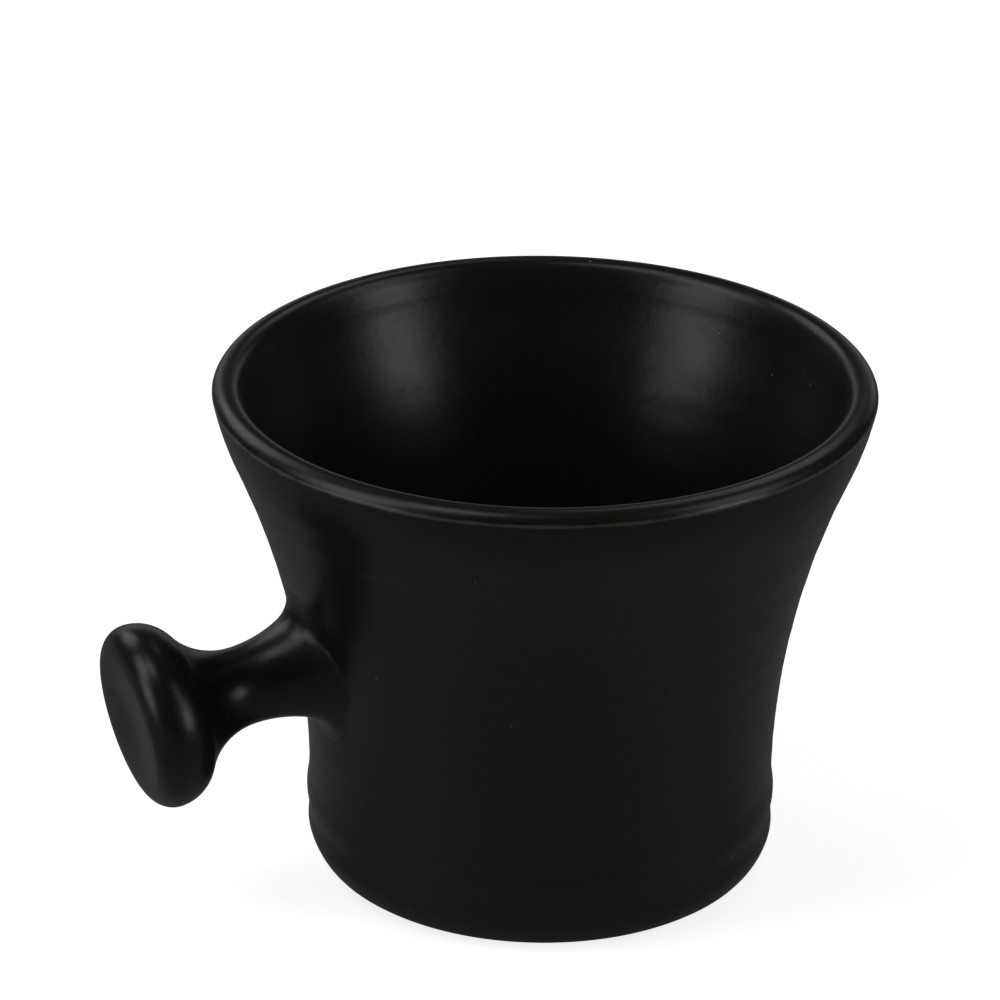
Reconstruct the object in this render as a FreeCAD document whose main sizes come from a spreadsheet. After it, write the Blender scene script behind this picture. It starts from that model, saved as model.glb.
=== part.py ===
import FreeCAD, Part

import math
import os

import Sketcher
from FreeCAD import Placement, Rotation, Vector

# A stoneware shaving mug: a flared cup on a foot ring, with a turned knob for a handle.
# Millimetres. The origin is on the cup's axis at the plane the mug stands on, +Z is up and the
# handle points along -X. Every size on the sheet is of the finished, glazed surface, and the clay
# lies one glaze thickness inside it.

SIZES = (
    ("cup_height", 80.8, "standing plane to the top of the lip"),
    ("lip_top_radius", 48.6, "axis to the highest line of the lip"),
    ("rim_radius", 51.1, "axis to the lip's crisp outer edge"),
    ("rim_edge_height", 78.9, "standing plane to that edge"),
    ("mouth_radius", 46.4, "axis to where the lip's round meets the inner wall"),
    ("mouth_height", 79.0, "standing plane to that line"),
    ("flare_radius", 48.05, "outside, where the hollow flare turns into the full shoulder"),
    ("flare_height", 69.15, "standing plane to that line"),
    ("inner_flare_radius", 43.2, "the same line on the inner wall"),
    ("inner_flare_height", 69.5, "standing plane to that line"),
    ("waist_radius", 36.6, "outside of the straight waist"),
    ("waist_height", 14.0, "top of the straight waist"),
    ("inner_waist_radius", 32.2, "inner wall above the floor"),
    ("floor_height", 7.0, "standing plane to the inside floor"),
    ("floor_fillet", 10.0, "round between the floor and the inner wall"),
    ("foot_radius", 33.5, "outside of the foot ring where it stands"),
    ("foot_round_height", 5.45, "top of the round above the foot"),
    ("foot_ring_width", 4.5, "width of the foot ring's standing face, glaze included"),
    ("recess_depth", 2.0, "standing plane to the glazed recess under the floor"),
    ("recess_fillet", 1.0, "round in the corner of the recess"),
    ("glaze_thickness", 0.4, "thickness of each coat of glaze"),
    ("glaze_line_height", 0.5, "height of the waxed band that the outer glaze stops at"),
    ("slip_thickness", 0.5, "slip between the neck and the wall"),
    ("handle_height", 45.3, "where the handle's axis meets the cup's axis"),
    ("handle_droop", 8.5, "degrees that the handle's axis falls outwards"),
    ("root_place", 37.0, "along the handle's axis, to the hidden end of the root"),
    ("root_radius", 11.4, "radius of that hidden end"),
    ("neck_place", 51.0, "along the handle's axis, to the thinnest place"),
    ("neck_radius", 6.15, "radius there"),
    ("knob_place", 66.05, "along the handle's axis, to the widest place of the knob"),
    ("knob_radius", 14.5, "radius there"),
    ("knob_hollow_share", 0.616, "share of the curve from neck to knob that is hollow"),
    ("knob_end", 69.87, "along the handle's axis, to the crest around the knob's face"),
    ("dish_depth", 0.8, "depth of the dish in the knob's face"),
)

NODES = (
    "cup_body",
    "knob_handle",
    "luting_slip",
    "inside_glaze",
    "outside_glaze",
    "handle_glaze",
    "base_glaze",
)

HEADINGS = {
    "up": Vector(0, 1, 0),
    "out": Vector(1, 0, 0),
    "in": Vector(-1, 0, 0),
}
ORIGIN_POINT = (-1, 1)
HEIGHT_AXIS = -2
RADIUS_AXIS = -1

doc = FreeCAD.newDocument("shaving_mug")


def fill_sheet():
    """The driving dimensions, one row each: what it is, and its value under an alias."""
    sheet = doc.addObject("Spreadsheet::Sheet", "Sizes")
    for row, (alias, value, meaning) in enumerate(SIZES, start=1):
        sheet.set(f"A{row}", meaning)
        sheet.set(f"B{row}", str(value))
        sheet.setAlias(f"B{row}", alias)
    doc.recompute()
    return sheet


sizes = fill_sheet()


class Outline:
    """A closed outline drawn corner by corner in a body's XZ plane, radius across and height up.

    A corner is a pair of expressions in the sheet's names, and an arc also has its heading where it
    leaves its first corner or arrives at its last one, so the solver has one answer for each arc.
    An outline has one side, closed by a straight edge, or two that start at the same corner and
    meet at their last one, which lets two pieces share a wall drawn in the same direction.
    """

    def __init__(self, body, radius, height):
        plane = next(item for item in body.Origin.OriginFeatures if item.Role == "XZ_Plane")
        self.sketch = body.newObject("Sketcher::SketchObject", f"{body.Name}_outline")
        self.sketch.AttachmentSupport = (plane, [""])
        self.sketch.MapMode = "FlatFace"
        self.first = (radius, height)
        self.corner = self.point(radius, height)
        self.heading = None
        self.last = None
        self.last_corner = None
        self.first_end = None
        self.closing = None
        self.closing_end = None

    def point(self, radius, height):
        return Vector(sizes.evalExpression(radius), sizes.evalExpression(height), 0)

    def constrain(self, *what):
        return self.sketch.addConstraint(Sketcher.Constraint(*what))

    def pin(self, end, radius, height):
        """Bind a corner to its two expressions, or to an axis where one of them is nought."""
        for kind, axis, expression in (
            ("DistanceX", HEIGHT_AXIS, radius),
            ("DistanceY", RADIUS_AXIS, height),
        ):
            value = sizes.evalExpression(expression)
            if value == 0:
                self.constrain("PointOnObject", *end, axis)
            else:
                index = self.constrain(kind, *ORIGIN_POINT, *end, value)
                self.sketch.setExpression(f"Constraints[{index}]", expression)

    def join(self, start, end, radius, height, smooth):
        """Join a new edge to the last one, and pin its far corner unless it closes the outline."""
        if self.last is None:
            self.pin(start, *self.first)
            self.first_end = start
            self.closing = self.first
            self.closing_end = start
        else:
            self.constrain("Tangent" if smooth else "Coincident", *self.last, *start)
        if (radius, height) == self.closing:
            self.constrain("Coincident", *end, *self.closing_end)
        else:
            self.pin(end, radius, height)
        self.last = end
        self.last_corner = (radius, height)
        self.corner = self.point(radius, height)

    def start_second_side(self):
        self.closing = self.last_corner
        self.closing_end = self.last
        self.last = self.first_end
        self.corner = self.point(*self.first)

    def line_to(self, radius, height):
        target = self.point(radius, height)
        edge = self.sketch.addGeometry(Part.LineSegment(self.corner, target), False)
        self.heading = (target - self.corner).normalize()
        self.join((edge, 1), (edge, 2), radius, height, smooth=False)

    def arc_to(self, radius, height, leave=None, arrive=None):
        """leave or arrive is one of HEADINGS; with neither, the arc goes on from the last edge."""
        start, target = self.corner, self.point(radius, height)
        smooth = leave is None and arrive is None
        known = target if arrive else start
        other = start if arrive else target
        heading = self.heading if smooth else HEADINGS[leave or arrive]
        across = Vector(-heading.y, heading.x, 0)
        chord = other - known
        centre = known + across * (chord.dot(chord) / (2 * across.dot(chord)))
        anticlockwise = (known - centre).cross(heading).z > 0
        angles = [math.atan2(p.y - centre.y, p.x - centre.x) for p in (start, target)]
        if not anticlockwise:
            angles.reverse()
        if angles[1] < angles[0]:
            angles[1] += 2 * math.pi
        circle = Part.Circle(centre, Vector(0, 0, 1), (start - centre).Length)
        edge = self.sketch.addGeometry(Part.ArcOfCircle(circle, *angles), False)
        ends = ((edge, 1), (edge, 2)) if anticlockwise else ((edge, 2), (edge, 1))
        spoke = target - centre
        turn = 1 if anticlockwise else -1
        self.heading = Vector(-spoke.y * turn, spoke.x * turn, 0).normalize()
        self.join(*ends, radius, height, smooth)
        if not smooth:
            line_up = "Horizontal" if heading.x == 0 else "Vertical"
            self.constrain(line_up, edge, 3, *(ends[1] if arrive else ends[0]))

    def revolve(self, body):
        if self.closing == self.first:
            self.line_to(*self.first)
        turned = body.newObject("PartDesign::Revolution", f"{body.Name}_turned")
        turned.Profile = self.sketch
        turned.ReferenceAxis = (self.sketch, ["V_Axis"])
        turned.Angle = 360
        self.sketch.Visibility = False
        doc.recompute()


def new_body(label):
    body = doc.addObject("PartDesign::Body", label)
    body.Label = label
    return body


def boolean(kind, label, base, tool):
    """Part::Cut or Part::Common of two objects, kept as a live feature."""
    result = doc.addObject(f"Part::{kind}", label)
    result.Label = label
    result.Base = base
    result.Tool = tool
    doc.recompute()
    return result


GLAZE = "Sizes.glaze_thickness"


def outer_wall(outline, inset):
    """From the foot's corner up to the lip's outer edge: foot round, waist, flare and shoulder."""
    outline.arc_to(f"Sizes.waist_radius - {inset}", "Sizes.foot_round_height", arrive="up")
    outline.line_to(f"Sizes.waist_radius - {inset}", "Sizes.waist_height")
    outline.arc_to(f"Sizes.flare_radius - {inset}", "Sizes.flare_height", leave="up")
    outline.arc_to(f"Sizes.rim_radius - {inset}", "Sizes.rim_edge_height")


def inner_wall(outline, depth):
    """From the floor's edge up the inner wall and over the lip, depth below the glaze."""
    outline.line_to(
        "Sizes.inner_waist_radius - Sizes.floor_fillet", f"Sizes.floor_height - {depth}"
    )
    outline.arc_to(
        f"Sizes.inner_waist_radius + {depth}", "Sizes.floor_height + Sizes.floor_fillet", leave="out"
    )
    outline.arc_to(
        f"Sizes.inner_flare_radius + {depth}", "Sizes.inner_flare_height", leave="up"
    )
    outline.arc_to(f"Sizes.mouth_radius + {depth}", "Sizes.mouth_height")
    outline.arc_to("Sizes.lip_top_radius", f"Sizes.cup_height - {depth}", arrive="out")
    outline.arc_to(f"Sizes.rim_radius - {depth}", "Sizes.rim_edge_height", leave="out")


def make_cup_body():
    """The clay: foot ring, wall, lip and floor in one turned piece."""
    body = new_body("cup_body")
    recess_radius = "Sizes.foot_radius - Sizes.foot_ring_width"
    recess_top = f"Sizes.recess_depth + {GLAZE}"
    outline = Outline(body, "0", recess_top)
    outline.line_to(f"{recess_radius} - Sizes.recess_fillet", recess_top)
    outline.arc_to(recess_radius, f"{recess_top} - Sizes.recess_fillet", leave="out")
    outline.line_to(recess_radius, "0")
    outline.line_to(f"Sizes.foot_radius - {GLAZE}", "0")
    outer_wall(outline, GLAZE)
    outline.start_second_side()
    outline.line_to("0", f"Sizes.floor_height - {GLAZE}")
    inner_wall(outline, GLAZE)
    outline.revolve(body)


def make_inside_glaze():
    """The liner: across the floor, up the inner wall and over the lip to its outer edge."""
    body = new_body("inside_glaze")
    outline = Outline(body, "0", f"Sizes.floor_height - {GLAZE}")
    inner_wall(outline, GLAZE)
    outline.line_to("Sizes.rim_radius - 0", "Sizes.rim_edge_height")
    outline.start_second_side()
    outline.line_to("0", "Sizes.floor_height - 0")
    inner_wall(outline, "0")
    outline.revolve(body)


def make_base_glaze():
    """The coat inside the recess, up its corner round and no further, so the ring stands bare."""
    body = new_body("base_glaze")
    recess_radius = "Sizes.foot_radius - Sizes.foot_ring_width"
    flat_radius = f"{recess_radius} - Sizes.recess_fillet"
    recess_top = f"Sizes.recess_depth + {GLAZE}"
    outline = Outline(body, "0", "Sizes.recess_depth")
    outline.line_to(flat_radius, "Sizes.recess_depth")
    outline.arc_to(f"{recess_radius} - {GLAZE}", f"{recess_top} - Sizes.recess_fillet", leave="out")
    outline.line_to(recess_radius, f"{recess_top} - Sizes.recess_fillet")
    outline.arc_to(flat_radius, recess_top, arrive="in")
    outline.line_to("0", recess_top)
    outline.revolve(body)


def make_cup_form(label, inset):
    """The cup's outside as a solid block, inset from the glazed surface: a tool for the joins."""
    body = new_body(label)
    outline = Outline(body, "0", "0")
    outline.line_to(f"Sizes.foot_radius - {inset}", "0")
    outer_wall(outline, inset)
    outline.line_to("0", "Sizes.rim_edge_height")
    outline.revolve(body)
    return body


def make_handle_form(label, inset):
    """The handle turned about its own axis, inset from the glaze, its root running into the cup.

    Neck and knob join in an ogee whose two radii add up to the same length at every inset, so the
    inset moves the place where they meet. At its hidden end the root leans at 41 degrees, so its
    radius there changes by a third more than the inset.
    """
    body = new_body(label)
    rise = "(Sizes.knob_radius - Sizes.neck_radius)"
    run = "(Sizes.knob_place - Sizes.neck_place)"
    radii = f"(({rise} * {rise} + {run} * {run}) / (2 * {rise}))"
    share = f"(Sizes.knob_hollow_share + {inset} / {radii})"
    edge_round = "(Sizes.knob_end - Sizes.knob_place)"
    outline = Outline(body, "0", "Sizes.root_place")
    outline.line_to(f"Sizes.root_radius - {inset} * 4 / 3", "Sizes.root_place")
    outline.arc_to(f"Sizes.neck_radius - {inset}", "Sizes.neck_place", arrive="up")
    outline.arc_to(
        f"Sizes.neck_radius - {inset} + {share} * {rise}",
        f"Sizes.neck_place + {share} * {run}",
        leave="up",
    )
    outline.arc_to(f"Sizes.knob_radius - {inset}", "Sizes.knob_place", arrive="up")
    outline.arc_to(
        f"Sizes.knob_radius - {edge_round}", f"Sizes.knob_end - {inset}", leave="up"
    )
    outline.arc_to("0", f"Sizes.knob_end - Sizes.dish_depth - {inset}", arrive="in")
    outline.revolve(body)
    body.Placement = Placement(Vector(0, 0, 1), Rotation(Vector(0, 1, 0), -90))
    body.setExpression("Placement.Base.z", "Sizes.handle_height")
    body.setExpression("Placement.Rotation.Angle", "-90 - Sizes.handle_droop")
    doc.recompute()
    return body


def make_wax_band():
    """The band of wax resist under the glaze line, which keeps the foot bare."""
    band = doc.addObject("Part::Cylinder", "wax_band")
    band.setExpression("Radius", "Sizes.rim_radius")
    band.setExpression("Height", "Sizes.glaze_line_height")
    doc.recompute()
    return band


def make_mug():
    make_cup_body()
    make_inside_glaze()
    make_base_glaze()

    clay_form = make_cup_form("clay_form", GLAZE)
    glazed_form = make_cup_form("glazed_form", "0")
    slip_form = make_cup_form("slip_form", f"({GLAZE} - Sizes.slip_thickness)")
    handle_form = make_handle_form("handle_form", "0")
    clay_handle_form = make_handle_form("clay_handle_form", GLAZE)

    boolean("Cut", "knob_handle", clay_handle_form, slip_form)
    slip_layer = boolean("Cut", "slip_layer", slip_form, clay_form)
    boolean("Common", "luting_slip", slip_layer, clay_handle_form)

    outer_coat = boolean("Cut", "outer_coat", glazed_form, clay_form)
    waxed_coat = boolean("Cut", "waxed_coat", outer_coat, make_wax_band())
    boolean("Cut", "outside_glaze", waxed_coat, clay_handle_form)

    handle_coat = boolean("Cut", "handle_coat", handle_form, clay_handle_form)
    boolean("Cut", "handle_glaze", handle_coat, glazed_form)


def check_document():
    for item in doc.Objects:
        if "Invalid" in item.State or "Error" in item.State:
            raise RuntimeError(f"{item.Label} failed: {item.State}")
        if item.TypeId == "Sketcher::SketchObject" and not item.FullyConstrained:
            raise RuntimeError(f"{item.Label} isn't fully constrained")
    for label in NODES:
        shape = doc.getObjectsByLabel(label)[0].Shape
        if shape.isNull() or not shape.isValid() or not shape.Solids:
            raise RuntimeError(f"{label} has no valid solid")


def write_parts():
    os.makedirs("parts", exist_ok=True)
    for label in NODES:
        shape = doc.getObjectsByLabel(label)[0].Shape
        shape.exportStep(f"parts/{label}.step")
        print(f"{label}: {len(shape.Solids)} solid, {shape.Volume / 1000:.2f} cm3")


make_mug()
doc.recompute()
check_document()
write_parts()
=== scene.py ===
import math
from bisect import bisect

import bmesh
import bpy
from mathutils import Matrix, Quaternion, Vector


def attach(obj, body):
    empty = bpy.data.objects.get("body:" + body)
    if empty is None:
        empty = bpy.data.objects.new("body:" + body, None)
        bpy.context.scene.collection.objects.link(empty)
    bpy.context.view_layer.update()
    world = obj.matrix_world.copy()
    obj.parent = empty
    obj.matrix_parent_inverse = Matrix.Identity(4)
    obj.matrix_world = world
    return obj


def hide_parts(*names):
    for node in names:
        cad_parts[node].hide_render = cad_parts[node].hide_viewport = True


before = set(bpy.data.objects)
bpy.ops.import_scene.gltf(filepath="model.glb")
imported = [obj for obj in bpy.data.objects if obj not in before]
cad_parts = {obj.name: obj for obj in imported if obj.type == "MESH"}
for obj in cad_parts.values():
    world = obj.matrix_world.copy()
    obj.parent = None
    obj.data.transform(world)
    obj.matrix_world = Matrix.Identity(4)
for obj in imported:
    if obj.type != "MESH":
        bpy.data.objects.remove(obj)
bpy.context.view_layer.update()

# ---------------------------------------------------------------------------------------------
# The clay: the cup, its knob, and the slip between them.
# A buff stoneware body with fine grog, turned on the wheel and fired to a hard, dry, slightly
# gritty face. Only the foot ring stays bare; the rest lies under the glaze.
# ---------------------------------------------------------------------------------------------
MM = 0.001
MIX_A, MIX_B, MIXED = 6, 7, 2  # a Mix node's colour sockets, whose names its number sockets share


def linear(code):
    """An sRGB hex colour as the linear RGBA that the shaders take."""
    parts = [int(code[i:i + 2], 16) / 255 for i in (1, 3, 5)]
    return (*[c / 12.92 if c <= 0.04045 else ((c + 0.055) / 1.055) ** 2.4 for c in parts], 1.0)


def add_node(tree, kind, inputs=None, **settings):
    """Adds a node with its settings, and fills its sockets with values or links.

    A node given as a value stands for its first output.
    """
    node = tree.nodes.new(kind)
    for name, value in settings.items():
        setattr(node, name, value)
    for socket, value in (inputs or {}).items():
        if isinstance(value, bpy.types.Node):
            value = value.outputs[0]
        if isinstance(value, bpy.types.NodeSocket):
            tree.links.new(value, node.inputs[socket])
        else:
            node.inputs[socket].default_value = value
    return node


def fired_clay(name, body, grog, grog_mm, roughness):
    """Unglazed fired clay: dry and matte, with grains of grog pressed into it."""
    material = bpy.data.materials.new(name)
    material.use_nodes = True
    tree = material.node_tree
    tree.nodes.clear()
    place = add_node(tree, "ShaderNodeTexCoord").outputs["Object"]
    grains = add_node(
        tree, "ShaderNodeTexNoise", {"Vector": place, "Scale": 1 / (grog_mm * MM), "Detail": 4.0}
    )
    flecks = add_node(
        tree, "ShaderNodeMapRange", {"Value": grains, "From Min": 0.55, "From Max": 0.7}
    )
    colour = add_node(
        tree,
        "ShaderNodeMix",
        {"Factor": flecks, MIX_A: linear(body), MIX_B: linear(grog)},
        data_type="RGBA",
    ).outputs[MIXED]
    grit = add_node(
        tree, "ShaderNodeBump", {"Height": grains, "Strength": 0.6, "Distance": 0.08 * MM}
    )
    shader = add_node(
        tree,
        "ShaderNodeBsdfPrincipled",
        {"Base Color": colour, "Roughness": roughness, "IOR": 1.5, "Normal": grit},
    )
    add_node(tree, "ShaderNodeOutputMaterial", {"Surface": shader})
    return material


stoneware = fired_clay("buff_stoneware", "#8f7a64", "#5d4c3e", grog_mm=0.7, roughness=0.85)
slip = fired_clay("stoneware_slip", "#86725e", "#6c5a4a", grog_mm=0.3, roughness=0.9)
for node, material in (("cup_body", stoneware), ("knob_handle", stoneware), ("luting_slip", slip)):
    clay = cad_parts[node]
    clay.data.materials.clear()
    clay.data.materials.append(material)

# ---------------------------------------------------------------------------------------------
# The outside coat of glaze: a satin black stoneware glaze, 0.4 mm thick, dipped over the wall.
# It follows the throwing rings of the clay under it and stops in a soft roll just above the
# foot, where wax kept it off.
# ---------------------------------------------------------------------------------------------
RIM_EDGE_HEIGHT = 78.9
RIM_RADIUS = 51.1
FLARE_RADIUS = 48.05
FLARE_HEIGHT = 69.15
WAIST_RADIUS = 36.6
WAIST_HEIGHT = 14.0
FOOT_ROUND_HEIGHT = 5.45
FOOT_RADIUS = 33.5
GLAZE = 0.4
GLAZE_LINE = 0.5
GLAZE_LINE_ROLL = 0.25
RINGS_START = 1.5
RIM_EDGE_ROUND = 0.3
WALL_ROW = 0.6
HIDDEN_ROW = 4.0
FACETS = 256
THROWING_RINGS = ((5.6, 0.22, 1.7), (11.1, 0.42, 2.3))  # height, rise and half width of each


def arc(start, end, heading, at_end=False, step=0.5):
    """Points along the arc from start to end, start left out, and the heading it arrives with.

    heading is the direction of travel at the start, or at the end if at_end.
    """
    start, end, heading = Vector(start), Vector(end), Vector(heading)
    known, other = (end, start) if at_end else (start, end)
    across = Vector((-heading.y, heading.x))
    chord = other - known
    centre = known + across * (chord.dot(chord) / (2 * across.dot(chord)))
    spoke = known - centre
    turn = 1 if spoke.x * heading.y - spoke.y * heading.x > 0 else -1
    first = math.atan2(start.y - centre.y, start.x - centre.x)
    last = math.atan2(end.y - centre.y, end.x - centre.x)
    sweep = (last - first) * turn % (2 * math.pi)
    radius = (start - centre).length
    count = max(2, round(sweep * radius / step))
    angles = [first + turn * sweep * i / count for i in range(1, count + 1)]
    points = [(centre.x + radius * math.cos(a), centre.y + radius * math.sin(a)) for a in angles]
    return points, (-math.sin(last) * turn, math.cos(last) * turn)


def wall_outline(step):
    """The outside of the wall, from the standing plane to the lip's edge, as (radius, height)."""
    waist_foot = (WAIST_RADIUS, FOOT_ROUND_HEIGHT)
    waist_top = (WAIST_RADIUS, WAIST_HEIGHT)
    flare_top = (FLARE_RADIUS, FLARE_HEIGHT)
    foot, _ = arc((FOOT_RADIUS, 0), waist_foot, (0, 1), True, step)
    flare, leaning = arc(waist_top, flare_top, (0, 1), False, step)
    shoulder, _ = arc(flare_top, (RIM_RADIUS, RIM_EDGE_HEIGHT), leaning, False, step)
    waist_length = WAIST_HEIGHT - FOOT_ROUND_HEIGHT
    waist_rows = round(waist_length / step)
    waist = [
        (WAIST_RADIUS, FOOT_ROUND_HEIGHT + waist_length * i / waist_rows)
        for i in range(1, waist_rows + 1)
    ]
    return [(FOOT_RADIUS, 0.0), *foot, *waist, *flare, *shoulder]


WALL = wall_outline(WALL_ROW / 2)
WALL_HEIGHTS = [z for _, z in WALL]


def wall_radius(height):
    """The radius of the smooth outside wall at a height."""
    i = min(max(bisect(WALL_HEIGHTS, height), 1), len(WALL) - 1)
    (r0, z0), (r1, z1) = WALL[i - 1], WALL[i]
    return r0 + (r1 - r0) * (height - z0) / (z1 - z0)


def ring_rise(height):
    """How far the thrown rings stand out at a height."""
    return sum(rise * math.exp(-(((height - at) / wide) ** 2)) for at, rise, wide in THROWING_RINGS)


CRISP_FOLD = 40  # degrees; a sharper fold in the outline stays an edge


def wheel_tree():
    """Turns an outline about Z, with faint rings left by the thrower's fingers on its skin."""
    tree = bpy.data.node_groups.new("turned_on_the_wheel", "GeometryNodeTree")
    for name, kind in (
        ("Outline", "NodeSocketGeometry"),
        ("Facets", "NodeSocketInt"),
        ("Ring Rise", "NodeSocketFloat"),
        ("Ring Spacing", "NodeSocketFloat"),
        ("Ring Drift", "NodeSocketFloat"),
        ("Seed", "NodeSocketInt"),
        ("Material", "NodeSocketMaterial"),
    ):
        tree.interface.new_socket(name, in_out="INPUT", socket_type=kind)
    tree.interface.new_socket("Geometry", in_out="OUTPUT", socket_type="NodeSocketGeometry")
    given = add_node(tree, "NodeGroupInput").outputs

    # A grid of one column to each facet and one row to each point of the outline.
    rows = add_node(
        tree, "GeometryNodeAttributeDomainSize", {"Geometry": given["Outline"]}, component="MESH"
    ).outputs["Point Count"]
    columns = add_node(tree, "ShaderNodeMath", {0: given["Facets"], 1: 1.0}, operation="ADD")
    grid = add_node(tree, "GeometryNodeMeshGrid", {"Vertices X": columns, "Vertices Y": rows})
    index = add_node(tree, "GeometryNodeInputIndex")
    row = add_node(tree, "ShaderNodeMath", {0: index, 1: rows}, operation="MODULO")
    middle = add_node(tree, "ShaderNodeMath", {0: index, 1: 0.5}, operation="ADD")
    column = add_node(tree, "ShaderNodeMath", {0: middle, 1: rows}, operation="DIVIDE")
    column = add_node(tree, "ShaderNodeMath", {0: column}, operation="FLOOR")
    turn = add_node(tree, "ShaderNodeMath", {0: column, 1: 2 * math.pi}, operation="MULTIPLY")
    turn = add_node(tree, "ShaderNodeMath", {0: turn, 1: given["Facets"]}, operation="DIVIDE")
    across = add_node(tree, "ShaderNodeMath", {0: turn}, operation="COSINE")
    along = add_node(tree, "ShaderNodeMath", {0: turn}, operation="SINE")

    # The radius and height of the row, and how far its skin shows the rings.
    place = add_node(tree, "GeometryNodeInputPosition")
    corner = add_node(
        tree,
        "GeometryNodeSampleIndex",
        {"Geometry": given["Outline"], "Value": place, "Index": row},
        data_type="FLOAT_VECTOR",
    ).outputs["Value"]
    corner = add_node(tree, "ShaderNodeSeparateXYZ", {"Vector": corner}).outputs
    skin = add_node(tree, "GeometryNodeInputNamedAttribute", {"Name": "skin"}, data_type="FLOAT")
    skin = add_node(
        tree,
        "GeometryNodeSampleIndex",
        {"Geometry": given["Outline"], "Value": skin.outputs["Attribute"], "Index": row},
        data_type="FLOAT",
    ).outputs["Value"]

    # The rings: noise that changes fast with height and drifts slowly round the pot.
    layer = add_node(
        tree, "ShaderNodeMath", {0: corner["Z"], 1: given["Ring Spacing"]}, operation="DIVIDE"
    )
    layer = add_node(tree, "ShaderNodeMath", {0: layer, 1: given["Seed"]}, operation="ADD")
    feel = add_node(tree, "ShaderNodeCombineXYZ", {"X": across, "Y": along})
    feel = add_node(
        tree, "ShaderNodeVectorMath", {0: feel, "Scale": given["Ring Drift"]}, operation="SCALE"
    )
    layer = add_node(tree, "ShaderNodeCombineXYZ", {"Z": layer})
    feel = add_node(tree, "ShaderNodeVectorMath", {0: feel, 1: layer}, operation="ADD")
    rings = add_node(tree, "ShaderNodeTexNoise", {"Vector": feel, "Scale": 1.0, "Detail": 1.0})
    rise = add_node(tree, "ShaderNodeMath", {0: rings, 1: 0.5}, operation="SUBTRACT")
    rise = add_node(tree, "ShaderNodeMath", {0: rise, 1: given["Ring Rise"]}, operation="MULTIPLY")
    rise = add_node(tree, "ShaderNodeMath", {0: rise, 1: skin}, operation="MULTIPLY")

    radius = add_node(tree, "ShaderNodeMath", {0: corner["X"], 1: rise}, operation="ADD")
    out_x = add_node(tree, "ShaderNodeMath", {0: radius, 1: across}, operation="MULTIPLY")
    out_y = add_node(tree, "ShaderNodeMath", {0: radius, 1: along}, operation="MULTIPLY")
    turned = add_node(tree, "ShaderNodeCombineXYZ", {"X": out_x, "Y": out_y, "Z": corner["Z"]})
    shape = add_node(tree, "GeometryNodeSetPosition", {"Geometry": grid, "Position": turned})
    shape = add_node(
        tree, "GeometryNodeMergeByDistance", {"Geometry": shape, "Distance": 0.002 * MM}
    )
    fold = add_node(tree, "GeometryNodeInputMeshEdgeAngle").outputs["Unsigned Angle"]
    crisp = add_node(
        tree, "ShaderNodeMath", {0: fold, 1: math.radians(CRISP_FOLD)}, operation="LESS_THAN"
    )
    shape = add_node(
        tree, "GeometryNodeSetShadeSmooth", {"Geometry": shape, "Shade Smooth": crisp}, domain="EDGE"
    )
    shape = add_node(tree, "GeometryNodeRealizeInstances", {"Geometry": shape})
    shape = add_node(
        tree, "GeometryNodeSetMaterial", {"Geometry": shape, "Material": given["Material"]}
    )
    add_node(tree, "NodeGroupOutput", {"Geometry": shape})
    return tree


THE_WHEEL = wheel_tree()


def turn_outwards(mesh):
    """Points every face of a closed mesh outwards, and smooths its faces."""
    work = bmesh.new()
    work.from_mesh(mesh)
    bmesh.ops.recalc_face_normals(work, faces=work.faces)
    for face in work.faces:
        face.smooth = True
    work.to_mesh(mesh)
    work.free()


def turned_piece(name, outline, material, inputs):
    """Runs an outline of (radius, height, skin) through the wheel and keeps the plain mesh.

    skin is 1 where the rings show in full and 0 where the surface is smooth.
    """
    mesh = bpy.data.meshes.new(f"{name}_outline")
    mesh.from_pydata([(r * MM, 0, z * MM) for r, z, _ in outline], [], [])
    skin = mesh.attributes.new("skin", "FLOAT", "POINT")
    skin.data.foreach_set("value", [shown for _, _, shown in outline])
    piece = bpy.data.objects.new(name, mesh)
    bpy.context.scene.collection.objects.link(piece)
    wheel = piece.modifiers.new("wheel", "NODES")
    wheel.node_group = THE_WHEEL
    settings = {**inputs, "Material": material}
    for socket in THE_WHEEL.interface.items_tree:
        if socket.name in settings:
            wheel[socket.identifier] = settings[socket.name]
    view = bpy.context.evaluated_depsgraph_get()
    piece.data = bpy.data.meshes.new_from_object(piece.evaluated_get(view))
    piece.modifiers.clear()
    bpy.data.meshes.remove(mesh)
    turn_outwards(piece.data)
    return piece


# Sizes in mm of what is in the glaze, and its roughness.
CLOUD_SIZE = 15.0
BREAK_INSET, BREAK_LIFT = 0.15, 0.05
BREAK_SPOT = 2.5
BREAK_LEAST, BREAK_SPREAD = 0.05, 0.6
BREAK_FULL, BREAK_STRENGTH = 0.35, 0.75  # as shares: of the way out, and of the brown
PINHOLE_CELL = 9.0
PINHOLE_CORE, PINHOLE_EDGE = 0.108, 0.198
SHEEN_SPOT = 4.0
LEAST_ROUGHNESS, ROUGHNESS_SPREAD = 0.27, 0.06


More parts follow.
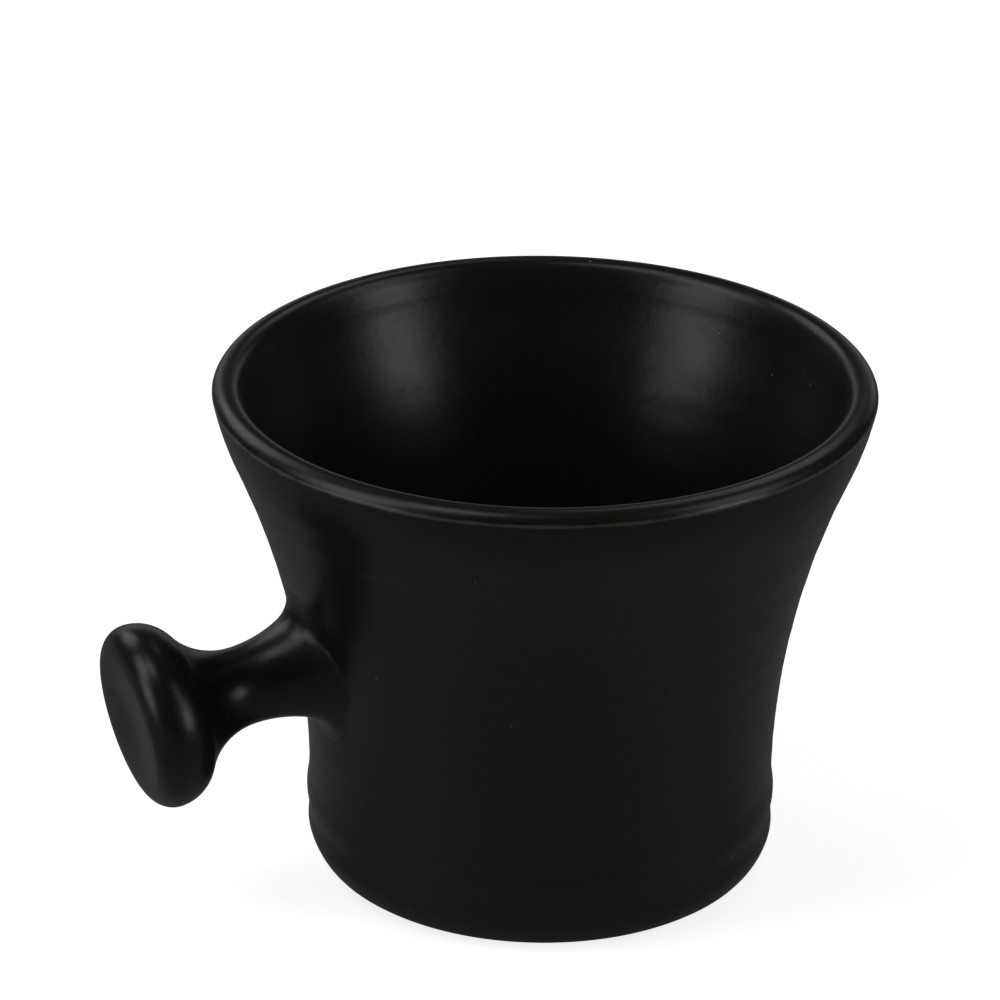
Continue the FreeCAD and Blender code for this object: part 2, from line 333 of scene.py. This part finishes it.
def satin_black_glaze(name, peel_mm, peel_depth_mm):
    """Satin black stoneware glaze, dipped and fired to a soft sheen.

    The micro-crystals that make it matte give a broad, weak highlight with no mirror in it. The
    skin is faintly dimpled, breaks to brown where it thins on the lip's edge, and holds a few
    pale pinholes.
    """
    material = bpy.data.materials.new(name)
    material.use_nodes = True
    tree = material.node_tree
    tree.nodes.clear()
    place = add_node(tree, "ShaderNodeTexCoord").outputs["Object"]

    # Slow changes of colour, as the coat runs thicker and thinner.
    clouds = add_node(
        tree, "ShaderNodeTexNoise", {"Vector": place, "Scale": 1 / (CLOUD_SIZE * MM), "Detail": 3.0}
    )
    colour = add_node(
        tree,
        "ShaderNodeMix",
        {"Factor": clouds, MIX_A: linear("#1a1a19"), MIX_B: linear("#1f1e1d")},
        data_type="RGBA",
    ).outputs[MIXED]

    # On the lip's outer edge the coat thins and breaks to brown, unevenly, within half a millimetre
    # or so of a circle just inside that edge.
    flat = add_node(tree, "ShaderNodeVectorMath", {0: place, 1: (1, 1, 0)}, operation="MULTIPLY")
    from_axis = add_node(tree, "ShaderNodeVectorMath", {0: flat}, operation="LENGTH").outputs["Value"]
    height = add_node(tree, "ShaderNodeSeparateXYZ", {"Vector": place}).outputs["Z"]
    profile = add_node(tree, "ShaderNodeCombineXYZ", {"X": from_axis, "Z": height})
    edge = ((RIM_RADIUS - BREAK_INSET) * MM, 0, (RIM_EDGE_HEIGHT + BREAK_LIFT) * MM)
    from_edge = add_node(
        tree, "ShaderNodeVectorMath", {0: profile, 1: edge}, operation="DISTANCE"
    ).outputs["Value"]
    ragged = add_node(
        tree, "ShaderNodeTexNoise", {"Vector": place, "Scale": 1 / (BREAK_SPOT * MM), "Detail": 3.0}
    )
    reach = add_node(
        tree,
        "ShaderNodeMath",
        {0: ragged, 1: BREAK_SPREAD * MM, 2: BREAK_LEAST * MM},
        operation="MULTIPLY_ADD",
    )
    share = add_node(tree, "ShaderNodeMath", {0: from_edge, 1: reach}, operation="DIVIDE")
    broken = add_node(
        tree,
        "ShaderNodeMapRange",
        {"Value": share, "From Min": 1.0, "From Max": BREAK_FULL, "To Max": BREAK_STRENGTH},
    )
    colour = add_node(
        tree,
        "ShaderNodeMix",
        {"Factor": broken, MIX_A: colour, MIX_B: linear("#6a6055")},
        data_type="RGBA",
    ).outputs[MIXED]

    # Pinholes, at most one to a cell, where the pale clay shows. They are drawn a little coarse,
    # 0.3 mm across, so that they show at all.
    holes = add_node(
        tree,
        "ShaderNodeTexVoronoi",
        {"Vector": place, "Scale": 1 / (PINHOLE_CELL * MM)},
        feature="F1",
    ).outputs["Distance"]
    pinhole = add_node(
        tree,
        "ShaderNodeMapRange",
        {
            "Value": holes,
            "From Min": PINHOLE_EDGE / PINHOLE_CELL,
            "From Max": PINHOLE_CORE / PINHOLE_CELL,
        },
    )
    colour = add_node(
        tree,
        "ShaderNodeMix",
        {"Factor": pinhole, MIX_A: colour, MIX_B: linear("#8f8678")},
        data_type="RGBA",
    ).outputs[MIXED]

    # The orange peel of the fired coat, and a sheen that varies a little from spot to spot.
    peel = add_node(
        tree, "ShaderNodeTexNoise", {"Vector": place, "Scale": 1 / (peel_mm * MM), "Detail": 2.0}
    )
    dimples = add_node(
        tree, "ShaderNodeBump", {"Height": peel, "Strength": 1.0, "Distance": peel_depth_mm * MM}
    )
    sheen = add_node(
        tree, "ShaderNodeTexNoise", {"Vector": place, "Scale": 1 / (SHEEN_SPOT * MM), "Detail": 3.0}
    )
    roughness = add_node(
        tree,
        "ShaderNodeMapRange",
        {
            "Value": sheen,
            "From Min": 0.2,
            "From Max": 0.8,
            "To Min": LEAST_ROUGHNESS,
            "To Max": LEAST_ROUGHNESS + ROUGHNESS_SPREAD,
        },
    )
    shader = add_node(
        tree,
        "ShaderNodeBsdfPrincipled",
        {"Base Color": colour, "Roughness": roughness, "IOR": 1.5, "Normal": dimples},
    )
    add_node(tree, "ShaderNodeOutputMaterial", {"Surface": shader})
    return material


outer_satin = satin_black_glaze("satin_black_glaze", peel_mm=1.0, peel_depth_mm=0.02)

join_height = RIM_EDGE_HEIGHT - 2 * RIM_EDGE_ROUND
skin_rows = [
    (r + ring_rise(z), z, 1.0 if z > RINGS_START else 0.0)
    for r, z in wall_outline(WALL_ROW)
    if GLAZE_LINE + GLAZE_LINE_ROLL < z < join_height
]
line_radius = wall_radius(GLAZE_LINE)
roll_start = (line_radius - GLAZE / 2, GLAZE_LINE, 0.0)
roll_middle = (line_radius - GLAZE / 10, GLAZE_LINE + GLAZE / 5, 0.0)
hidden_rows = [
    (r - GLAZE, z, 0.0)
    for r, z in reversed(wall_outline(HIDDEN_ROW))
    if GLAZE_LINE < z < join_height
]
outside_outline = [
    (line_radius - GLAZE, GLAZE_LINE, 0.0),
    roll_start,
    roll_middle,
    *skin_rows,
    (wall_radius(join_height), join_height, 0.0),
    *hidden_rows,
    (line_radius - GLAZE, GLAZE_LINE, 0.0),
]
outside_glaze = turned_piece(
    "outside_coat",
    outside_outline,
    outer_satin,
    {
        "Facets": FACETS,
        "Ring Rise": 0.16 * MM,
        "Ring Spacing": 3.2 * MM,
        "Ring Drift": 0.35,
        "Seed": 11,
    },
)
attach(outside_glaze, "root")
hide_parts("outside_glaze")

# ---------------------------------------------------------------------------------------------
# The liner: the same glaze poured inside, run over the lip and cut off at its crisp outer edge.
# Its dimples are a little larger than the outside's, and the wall under it is thrown, so faint
# rings show in it too. The floor is flat, with a round up to the wall.
# ---------------------------------------------------------------------------------------------
CUP_HEIGHT = 80.8
LIP_TOP_RADIUS = 48.6
MOUTH_RADIUS, MOUTH_HEIGHT = 46.4, 79.0
INNER_FLARE_RADIUS, INNER_FLARE_HEIGHT = 43.2, 69.5
INNER_WAIST_RADIUS = 32.2
FLOOR_HEIGHT = 7.0
ROLL_HEIGHT = 74.5
ROLL_PULL_BELOW, ROLL_PULL_ABOVE = 3.2, 2.2
ROLL_ROWS = 20
LIP_EDGE_INSET = 0.08
SHOULDER_ROW, LIP_ROW, EDGE_ROW = 0.6, 0.25, 0.12
INNER_ROW = 0.8
HIDDEN_INNER_ROW = 3.0
FLOOR_ROWS = 12
FLOOR_FILLET = 10.0


def inner_outline(depth, step):
    """From the floor's centre up the inside and over to the lip's top, depth under the glaze."""
    floor_edge = (INNER_WAIST_RADIUS - FLOOR_FILLET, FLOOR_HEIGHT - depth)
    waist = (INNER_WAIST_RADIUS + depth, FLOOR_HEIGHT + FLOOR_FILLET)
    flare = (INNER_FLARE_RADIUS + depth, INNER_FLARE_HEIGHT)
    mouth = (MOUTH_RADIUS + depth, MOUTH_HEIGHT)
    top = Vector((LIP_TOP_RADIUS, CUP_HEIGHT - depth))
    floor = [(floor_edge[0] * i / FLOOR_ROWS, floor_edge[1]) for i in range(FLOOR_ROWS + 1)]
    fillet, _ = arc(floor_edge, waist, (1, 0), False, step)
    wall, leaning = arc(waist, flare, (0, 1), False, step)
    shoulder, _ = arc(flare, mouth, leaning, False, SHOULDER_ROW)
    shoulder = [(r, z) for r, z in shoulder if z < ROLL_HEIGHT]
    start = Vector(shoulder[-1])
    lean = (start - Vector(shoulder[-2])).normalized()
    below = start + lean * ROLL_PULL_BELOW
    above = top - Vector((ROLL_PULL_ABOVE, 0))
    roll = []
    for i in range(1, ROLL_ROWS + 1):
        t = i / ROLL_ROWS
        lower = start * (1 - t) ** 3 + below * (3 * t * (1 - t) ** 2)
        point = lower + above * (3 * t * t * (1 - t)) + top * t ** 3
        roll.append((point.x, point.y))
    return [*floor, *fillet, *wall, *shoulder, *roll]


lip_skin = inner_outline(0.0, INNER_ROW)
edge_start = (RIM_RADIUS - LIP_EDGE_INSET, RIM_EDGE_HEIGHT + RIM_EDGE_ROUND)
edge_end_height = RIM_EDGE_HEIGHT - RIM_EDGE_ROUND
edge_end = (wall_radius(edge_end_height), edge_end_height)
lip_fall, falling = arc(lip_skin[-1], edge_start, (1, 0), False, LIP_ROW)
edge_turn, _ = arc(lip_fall[-1], edge_end, falling, False, EDGE_ROW)
join = (wall_radius(join_height), join_height)
inside_outline = [
    *[(r, z, 1.0 if FLOOR_HEIGHT + 1 < z < MOUTH_HEIGHT - 2 else 0.0) for r, z in lip_skin],
    *[(r, z, 0.0) for r, z in [*lip_fall, *edge_turn, join]],
    (join[0] - GLAZE, join_height, 0.0),
    (RIM_RADIUS - GLAZE, RIM_EDGE_HEIGHT, 0.0),
    *[(r, z, 0.0) for r, z in reversed(inner_outline(GLAZE, HIDDEN_INNER_ROW))],
]
inner_satin = satin_black_glaze("satin_black_liner", peel_mm=1.4, peel_depth_mm=0.025)
inside_glaze = turned_piece(
    "inside_coat",
    inside_outline,
    inner_satin,
    {
        "Facets": FACETS,
        "Ring Rise": 0.12 * MM,
        "Ring Spacing": 4.0 * MM,
        "Ring Drift": 0.5,
        "Seed": 5,
    },
)
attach(inside_glaze, "root")
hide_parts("inside_glaze")

# ---------------------------------------------------------------------------------------------
# The coat in the recess under the floor: the same glaze, brushed on inside the foot ring. It lies
# flat on the floor's underside, turns down the round in the corner, and ends there in a soft edge.
# ---------------------------------------------------------------------------------------------
RECESS_RADIUS = 29.0
RECESS_DEPTH = 2.0
RECESS_FILLET = 1.0
FLAT_ROWS = 16

flat_radius = RECESS_RADIUS - RECESS_FILLET
round_foot = RECESS_DEPTH + GLAZE - RECESS_FILLET
down_round, _ = arc((flat_radius, RECESS_DEPTH), (RECESS_RADIUS - GLAZE, round_foot), (1, 0), False, 0.1)
up_round, _ = arc((RECESS_RADIUS, round_foot), (flat_radius, RECESS_DEPTH + GLAZE), (-1, 0), True, 0.2)
base_outline = [
    *[(flat_radius * i / FLAT_ROWS, RECESS_DEPTH, 0.0) for i in range(FLAT_ROWS + 1)],
    *[(r, z, 0.0) for r, z in down_round],
    (RECESS_RADIUS - GLAZE / 4, round_foot - 0.05, 0.0),
    (RECESS_RADIUS, round_foot, 0.0),
    *[(r, z, 0.0) for r, z in up_round],
    *[(flat_radius * i / 4, RECESS_DEPTH + GLAZE, 0.0) for i in (3, 2, 1, 0)],
]
base_glaze = turned_piece(
    "base_coat",
    base_outline,
    outer_satin,
    {
        "Facets": FACETS // 2,
        "Ring Rise": 0.0,
        "Ring Spacing": 4.0 * MM,
        "Ring Drift": 0.5,
        "Seed": 2,
    },
)
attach(base_glaze, "root")
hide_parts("base_glaze")

# ---------------------------------------------------------------------------------------------
# The coat on the knob and its neck: the same glaze. The handle is a turned knob set square on the
# flaring wall, so it droops a little. Its root flares on to the wall over a wiped collar of slip,
# and the knob's face is dished inside a soft crest.
# ---------------------------------------------------------------------------------------------
HANDLE_HEIGHT = 45.3
HANDLE_DROOP = 8.5
ROOT_PLACE, ROOT_RADIUS = 37.0, 11.4
NECK_PLACE, NECK_RADIUS = 51.0, 6.15
KNOB_PLACE, KNOB_RADIUS = 66.05, 14.5
KNOB_HOLLOW_SHARE = 0.616
KNOB_END = 69.87
DISH_DEPTH = 0.8
DISH_ROWS = 28
HOLLOW_ROW, FLANK_ROW, CREST_ROW = 0.6, 0.5, 0.25
SLIP_REACH_BESIDE, SLIP_REACH_ABOVE = 0.8, 3.1
SIDE_UNTIL, SIDE_FADE = 0.55, 0.35  # how upright a turn is before the slip widens, and over what
SLIP_ROWS = 12
ROOT_ROWS = 14
SUNK_OUT, SUNK_IN = 0.3, 0.5
HANDLE_COLUMNS = 160

droop = math.radians(HANDLE_DROOP)
handle_axis = Vector((-math.cos(droop), 0, -math.sin(droop)))
handle_up = Vector((-math.sin(droop), 0, math.cos(droop)))
handle_side = handle_axis.cross(handle_up)


def on_handle(along, radius, turn):
    """A point by its place along the handle's axis, its distance from it, and the turn round it."""
    out = handle_up * math.cos(turn) + handle_side * math.sin(turn)
    return Vector((0, 0, HANDLE_HEIGHT)) + handle_axis * along + out * radius


root_rise, root_run = ROOT_RADIUS - NECK_RADIUS, NECK_PLACE - ROOT_PLACE
root_sweep = (root_rise ** 2 + root_run ** 2) / (2 * root_rise)


def root_radius(along):
    """The radius of the handle between the wall and the neck."""
    return NECK_RADIUS + root_sweep - math.sqrt(root_sweep ** 2 - (NECK_PLACE - along) ** 2)


def place_on_wall(radius_at, turn):
    """Where along the handle's axis a line of this radius, at this turn, goes into the wall."""
    low, high = ROOT_PLACE - 4, ROOT_PLACE + 10
    for _ in range(24):
        middle = (low + high) / 2
        point = on_handle(middle, radius_at(middle), turn)
        if math.hypot(point.x, point.y) < wall_radius(point.z):
            low = middle
        else:
            high = middle
    return high


meeting = (
    NECK_RADIUS + KNOB_HOLLOW_SHARE * (KNOB_RADIUS - NECK_RADIUS),
    NECK_PLACE + KNOB_HOLLOW_SHARE * (KNOB_PLACE - NECK_PLACE),
)
crest = (KNOB_RADIUS - (KNOB_END - KNOB_PLACE), KNOB_END)
hollow, _ = arc((NECK_RADIUS, NECK_PLACE), meeting, (0, 1), False, HOLLOW_ROW)
flank, _ = arc(meeting, (KNOB_RADIUS, KNOB_PLACE), (0, 1), True, FLANK_ROW)
edge, _ = arc((KNOB_RADIUS, KNOB_PLACE), crest, (0, 1), False, CREST_ROW)
dish = []
for row in range(1, DISH_ROWS + 1):
    share = row / DISH_ROWS
    fall = DISH_DEPTH * (1 - math.cos(math.pi * share)) / 2
    dish.append((crest[0] * (1 - share), KNOB_END - fall))


def root_rows(turn):
    """Points from the wall up to the neck at one turn round the root, over the wiped slip.

    The slip was wiped well up the wall above and below the root, and thinly at its sides.
    """
    upright = min(max((abs(math.cos(turn)) - SIDE_UNTIL) / SIDE_FADE, 0.0), 1.0)
    upright = upright ** 2 * (3 - 2 * upright)
    reach = SLIP_REACH_BESIDE + (SLIP_REACH_ABOVE - SLIP_REACH_BESIDE) * upright
    contact = place_on_wall(root_radius, turn)
    meets = on_handle(contact, root_radius(contact), turn)
    begins = contact + reach
    begin = on_handle(begins, root_radius(begins), turn)
    foot_radius = root_radius(contact) + reach
    foot = on_handle(place_on_wall(lambda _: foot_radius, turn), foot_radius, turn)
    sunk_radius = foot_radius + SUNK_OUT
    sunk_place = place_on_wall(lambda _: sunk_radius, turn) - SUNK_IN
    rows = [on_handle(sunk_place, sunk_radius, turn)]
    for i in range(SLIP_ROWS + 1):
        t = i / SLIP_ROWS
        rows.append(foot * (1 - t) ** 2 + meets * (2 * t * (1 - t)) + begin * t ** 2)
    for i in range(1, ROOT_ROWS + 1):
        place = begins + (NECK_PLACE - begins) * i / ROOT_ROWS
        rows.append(on_handle(place, root_radius(place), turn))
    return rows


def handle_mesh():
    """A closed skin as thick as the glaze, from the wall to the middle of the knob's face."""
    work = bmesh.new()
    columns = []
    for c in range(HANDLE_COLUMNS):
        turn = 2 * math.pi * c / HANDLE_COLUMNS
        rows = root_rows(turn)
        rows += [on_handle(s, r, turn) for r, s in [*hollow, *flank, *edge, *dish[:-1]]]
        columns.append([work.verts.new(p * MM) for p in rows])
    middle = work.verts.new(on_handle(dish[-1][1], 0, 0) * MM)
    for column, following in zip(columns, columns[1:] + columns[:1]):
        for i in range(len(column) - 1):
            work.faces.new((column[i], column[i + 1], following[i + 1], following[i]))
        work.faces.new((column[-1], middle, following[-1]))
    bmesh.ops.recalc_face_normals(work, faces=work.faces)
    work.normal_update()

    # The underside of the coat, and the rim that joins it to the top inside the wall.
    under = {vert: work.verts.new(vert.co - vert.normal * GLAZE * MM) for vert in work.verts[:]}
    for face in work.faces[:]:
        work.faces.new([under[vert] for vert in reversed(face.verts)])
    for column, following in zip(columns, columns[1:] + columns[:1]):
        work.faces.new((column[0], following[0], under[following[0]], under[column[0]]))
    bmesh.ops.recalc_face_normals(work, faces=work.faces)
    for face in work.faces:
        face.smooth = True
    mesh = bpy.data.meshes.new("handle_coat")
    work.to_mesh(mesh)
    work.free()
    return mesh


handle_glaze = bpy.data.objects.new("handle_coat", handle_mesh())
handle_glaze.data.materials.append(outer_satin)
bpy.context.scene.collection.objects.link(handle_glaze)
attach(handle_glaze, "root")
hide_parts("handle_glaze")

# ---------------------------------------------------------------------------------------------
# The studio: a plain pale floor, three soft boxes on either side, one overhead, a strip of pale
# paper behind, and a long lens.
# ---------------------------------------------------------------------------------------------
CAMERA_AZIMUTH = -25.0
CAMERA_ELEVATION = 26.0
CAMERA_DISTANCE = 0.8
CAMERA_LENS = 183.85
CAMERA_TILT = 0.51
CAMERA_AIM = Vector((-2.85, 10.07, 56.07)) * MM
CUP_MIDDLE = Vector((0, 0, 40)) * MM
LAMP_DISTANCE = 0.8
ROOM_GLOW = 0.025
CARD_HALF_WIDTH = 3.0
# The painted pool of light on the card: where it starts to fade, where it ends, its glow, and the faint
# glow painted beyond it.
CARD_PAINTED_POOL_RADIUS, CARD_PAINTED_POOL_END = 0.07, 0.12
CARD_PAINTED_POOL_GLOW, CARD_PAINTED_FAR_GLOW = 0.05, 0.01
CARD_SHOWN_GLOW = 0.8


def direction(azimuth, elevation):
    """The way out from the cup, with azimuth in degrees from -Y towards +X."""
    a, e = math.radians(azimuth), math.radians(elevation)
    return Vector((math.sin(a) * math.cos(e), -math.cos(a) * math.cos(e), math.sin(e)))


camera = bpy.data.objects.new("camera", bpy.data.cameras.new("camera"))
camera.data.lens = CAMERA_LENS
camera.data.sensor_width = 36
camera.location = CUP_MIDDLE + direction(CAMERA_AZIMUTH, CAMERA_ELEVATION) * CAMERA_DISTANCE
camera.rotation_mode = "QUATERNION"
look = (CAMERA_AIM - camera.location).to_track_quat("-Z", "Y")
camera.rotation_quaternion = look @ Quaternion((0, 0, 1), math.radians(CAMERA_TILT))
bpy.context.scene.collection.objects.link(camera)
bpy.context.scene.camera = camera


def soft_box(name, azimuth, elevation, width, height, power):
    """A rectangle of soft light that faces the cup and that the camera does not see."""
    lamp = bpy.data.lights.new(name, "AREA")
    lamp.shape = "RECTANGLE"
    lamp.size, lamp.size_y = width, height
    lamp.energy = power
    box = bpy.data.objects.new(name, lamp)
    box.location = CUP_MIDDLE + direction(azimuth, elevation) * LAMP_DISTANCE
    box.rotation_mode = "QUATERNION"
    box.rotation_quaternion = (CUP_MIDDLE - box.location).to_track_quat("-Z", "Y")
    box.visible_camera = False
    bpy.context.scene.collection.objects.link(box)


for name, azimuth, elevation, width, height, power in (
    ("left_soft_box", -62, 12, 0.38, 0.36, 0.7),
    ("left_high_box", -75, 40, 0.4, 0.4, 0.8),
    ("left_back_box", -135, 32, 0.4, 0.4, 0.55),
    ("right_soft_box", 63, 14, 0.3, 0.3, 0.6),
    ("right_high_box", 75, 40, 0.4, 0.4, 0.5),
    ("right_back_box", 150, 50, 0.4, 0.4, 0.4),
    ("back_paper", 180, 8, 1.2, 0.25, 0.3),
    ("top_box", -60, 68, 0.3, 0.3, 0.45),
):
    soft_box(name, CAMERA_AZIMUTH + azimuth, elevation, width, height, power)

# The room: bright paper where the camera looks, and nearly dark where the glaze reflects it.
world = bpy.data.worlds.new("studio")
world.use_nodes = True
room = world.node_tree
room.nodes.clear()
to_camera = add_node(room, "ShaderNodeLightPath").outputs["Is Camera Ray"]
paper = add_node(room, "ShaderNodeBackground", {"Color": (1, 1, 1, 1), "Strength": 1.0})
dim = add_node(room, "ShaderNodeBackground", {"Color": (1, 1, 1, 1), "Strength": ROOM_GLOW})
both = add_node(room, "ShaderNodeMixShader", {0: to_camera, 1: dim, 2: paper})
add_node(room, "ShaderNodeOutputWorld", {"Surface": both})
bpy.context.scene.world = world
bpy.context.scene.view_settings.view_transform = "Standard"

# The floor is a white card. The mug sees it dimmer than the camera does, with a painted pool of light
# glowing on it, brightest close by.
corners = [(-1, -1, 0), (1, -1, 0), (1, 1, 0), (-1, 1, 0)]
floor_mesh = bpy.data.meshes.new("floor")
floor_mesh.from_pydata([Vector(c) * CARD_HALF_WIDTH for c in corners], [], [(0, 1, 2, 3)])
floor = bpy.data.objects.new("floor", floor_mesh)
bpy.context.scene.collection.objects.link(floor)
card = bpy.data.materials.new("white_card")
card.use_nodes = True
sheet = card.node_tree
sheet.nodes.clear()
place = add_node(sheet, "ShaderNodeTexCoord").outputs["Object"]
away = add_node(sheet, "ShaderNodeVectorMath", {0: place}, operation="LENGTH").outputs["Value"]
# Painted light: an emission pool on the card round the mug, fading out between 7 and 12 cm. It stands in
# for light falling on the floor there and shows only in reflections.
painted_light_pool = add_node(
    sheet,
    "ShaderNodeMapRange",
    {
        "Value": away,
        "From Min": CARD_PAINTED_POOL_RADIUS,
        "From Max": CARD_PAINTED_POOL_END,
        "To Min": CARD_PAINTED_POOL_GLOW,
        "To Max": CARD_PAINTED_FAR_GLOW,
    },
    interpolation_type="SMOOTHSTEP",
)
painted_pool_glow = add_node(sheet, "ShaderNodeEmission", {"Strength": painted_light_pool})
dim_card = add_node(sheet, "ShaderNodeBsdfDiffuse", {"Color": (0.3, 0.3, 0.3, 1)})
card_seen_in_glaze = add_node(sheet, "ShaderNodeAddShader", {0: painted_pool_glow, 1: dim_card})
bright = add_node(sheet, "ShaderNodeEmission", {"Strength": CARD_SHOWN_GLOW})
shaded = add_node(sheet, "ShaderNodeBsdfDiffuse", {"Color": (1, 1, 1, 1)})
shown = add_node(sheet, "ShaderNodeAddShader", {0: bright, 1: shaded})
to_camera = add_node(sheet, "ShaderNodeLightPath").outputs["Is Camera Ray"]
surface = add_node(sheet, "ShaderNodeMixShader", {0: to_camera, 1: card_seen_in_glaze, 2: shown})
add_node(sheet, "ShaderNodeOutputMaterial", {"Surface": surface})
floor_mesh.materials.append(card)
